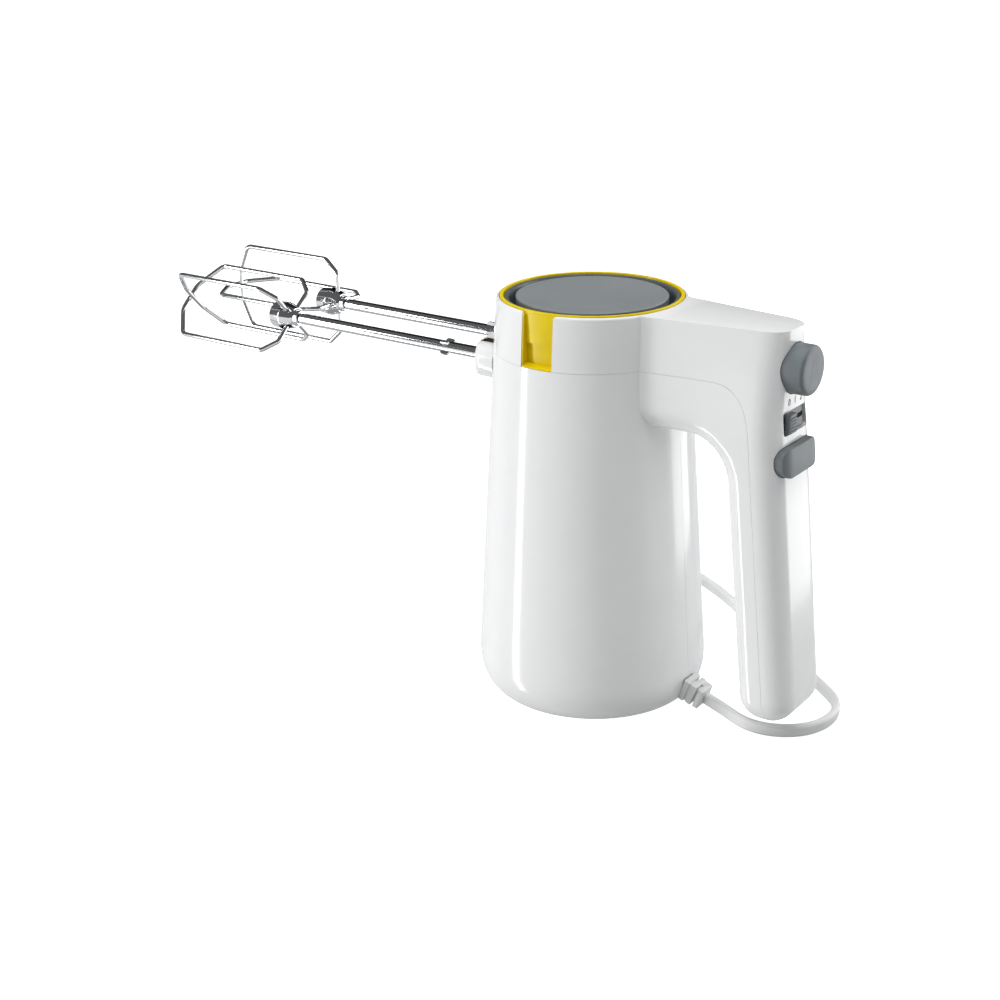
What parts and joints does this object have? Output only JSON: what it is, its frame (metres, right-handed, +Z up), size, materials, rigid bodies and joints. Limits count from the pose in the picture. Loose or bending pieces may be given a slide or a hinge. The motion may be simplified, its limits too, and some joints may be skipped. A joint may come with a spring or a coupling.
{
  "type": "hand mixer",
  "caption": "Electric hand mixer standing on its motor barrel, with an arm and a side handle, two wire beaters, eject, speed and boost controls, and a coiled flat lead.",
  "frame": {"origin": "centre of the barrel's closed end, on the flat foot that the mixer stands on", "axes": "+Z up along the motor barrel; +X from the barrel to the handle, so the beaters point at -X; Y = 0 is the plane of symmetry of the housing"},
  "size_m": [0.3089, 0.167, 0.1625],
  "materials": {
    "white_plastic": "glossy white moulded plastic",
    "yellow_plastic": "satin yellow moulded plastic",
    "grey_plastic": "satin grey moulded plastic",
    "cap_plastic": "grey plastic with a fine turned grain",
    "grey_rubber": "matt grey rubber",
    "dark_plastic": "dark grey plastic",
    "nylon": "natural nylon",
    "cord_pvc": "white PVC sheath",
    "carbon": "pressed carbon",
    "beater_chrome": "bright chrome plate",
    "shaft_steel": "ground steel",
    "spring_steel": "spring wire",
    "screw_steel": "zinc-plated steel",
    "laminations": "stacked steel laminations",
    "copper": "enamelled copper wire",
    "commutator_copper": "turned copper bars",
    "zinc": "die-cast zinc",
    "bronze": "sintered bronze",
    "brass": "pressed brass"
  },
  "bodies": {
    "housing": {"top_housing": "white_plastic", "near_lower_housing": "white_plastic", "far_lower_housing": "white_plastic", "base_foot": "grey_rubber", "housing_screw_1": "screw_steel", "housing_screw_2": "screw_steel", "housing_screw_3": "screw_steel", "trim_ring": "yellow_plastic", "bezel_ring": "grey_plastic", "end_cap": "cap_plastic", "stator_core": "laminations", "near_field_coil": "copper", "far_field_coil": "copper", "motor_end_bracket": "zinc", "lower_bearing": "bronze", "upper_bearing": "bronze", "near_brush_holder": "brass", "far_brush_holder": "brass", "near_brush": "carbon", "far_brush": "carbon", "gearbox_bracket": "zinc", "near_spindle_bush": "bronze", "far_spindle_bush": "bronze", "eject_spring": "spring_steel", "turbo_spring": "spring_steel", "turbo_switch": "dark_plastic", "speed_plate": "grey_plastic", "speed_switch": "dark_plastic", "strain_relief": "white_plastic", "cord_lead": "cord_pvc", "cord_coil": "cord_pvc", "cord_tail": "cord_pvc", "cord_tie": "dark_plastic", "plug_body": "cord_pvc", "near_plug_pin": "brass", "far_plug_pin": "brass"},
    "armature": {"armature_shaft": "shaft_steel", "armature_core": "laminations", "lower_winding": "copper", "upper_winding": "copper", "commutator": "commutator_copper", "cooling_fan": "dark_plastic"},
    "near_spindle": {"near_spindle": "shaft_steel", "near_worm_wheel": "nylon"},
    "far_spindle": {"far_spindle": "shaft_steel", "far_worm_wheel": "nylon"},
    "near_ejector_pin": {"near_ejector_pin": "shaft_steel"},
    "far_ejector_pin": {"far_ejector_pin": "shaft_steel"},
    "near_beater": {"near_beater_shaft": "beater_chrome", "near_beater_hub": "beater_chrome", "near_outer_loop": "beater_chrome", "near_inner_loop": "beater_chrome"},
    "far_beater": {"far_beater_shaft": "beater_chrome", "far_beater_hub": "beater_chrome", "far_outer_loop": "beater_chrome", "far_inner_loop": "beater_chrome"},
    "eject_button": {"eject_button": "grey_plastic", "eject_rod": "dark_plastic"},
    "speed_knob": {"speed_knob": "grey_plastic"},
    "turbo_button": {"turbo_button": "grey_plastic"}
  },
  "joints": [
    {"name": "armature_spin", "type": "hinge", "parent": "housing", "child": "armature", "pos_m": [0, 0, 0.08], "axis": [0, 0, 1], "continuous": true},
    {"name": "near_spindle_spin", "type": "hinge", "parent": "housing", "child": "near_spindle", "pos_m": [0, -0.01454, 0.1353], "axis": [1, 0, 0], "continuous": true},
    {"name": "far_spindle_spin", "type": "hinge", "parent": "housing", "child": "far_spindle", "pos_m": [0, 0.01454, 0.1353], "axis": [1, 0, 0], "continuous": true},
    {"name": "eject_press", "type": "slide", "parent": "housing", "child": "eject_button", "axis": [-1, 0, 0], "range_m": [0, 0.008], "stiffness_N_per_m": 400, "springref_m": -0.003, "deforming": ["eject_spring"]},
    {"name": "near_pin_slide", "type": "slide", "parent": "near_spindle", "child": "near_ejector_pin", "axis": [-1, 0, 0], "range_m": [0, 0.008]},
    {"name": "far_pin_slide", "type": "slide", "parent": "far_spindle", "child": "far_ejector_pin", "axis": [-1, 0, 0], "range_m": [0, 0.008]},
    {"name": "near_beater_pull", "type": "slide", "parent": "near_ejector_pin", "child": "near_beater", "axis": [-1, 0, 0], "range_m": [0, 0.05]},
    {"name": "far_beater_pull", "type": "slide", "parent": "far_ejector_pin", "child": "far_beater", "axis": [-1, 0, 0], "range_m": [0, 0.05]},
    {"name": "speed_slide", "type": "slide", "parent": "housing", "child": "speed_knob", "axis": [0, 1, 0], "range_m": [0, 0.0135]},
    {"name": "turbo_press", "type": "slide", "parent": "housing", "child": "turbo_button", "axis": [-1, 0, 0], "range_m": [0, 0.002], "stiffness_N_per_m": 600, "springref_m": -0.002, "deforming": ["turbo_spring"]}
  ],
  "couplings": [
    {"joint": "near_spindle_spin", "follows": "armature_spin", "ratio": -0.045455},
    {"joint": "far_spindle_spin", "follows": "armature_spin", "ratio": 0.045455},
    {"joint": "near_pin_slide", "follows": "eject_press", "ratio": 1},
    {"joint": "far_pin_slide", "follows": "eject_press", "ratio": 1}
  ]
}
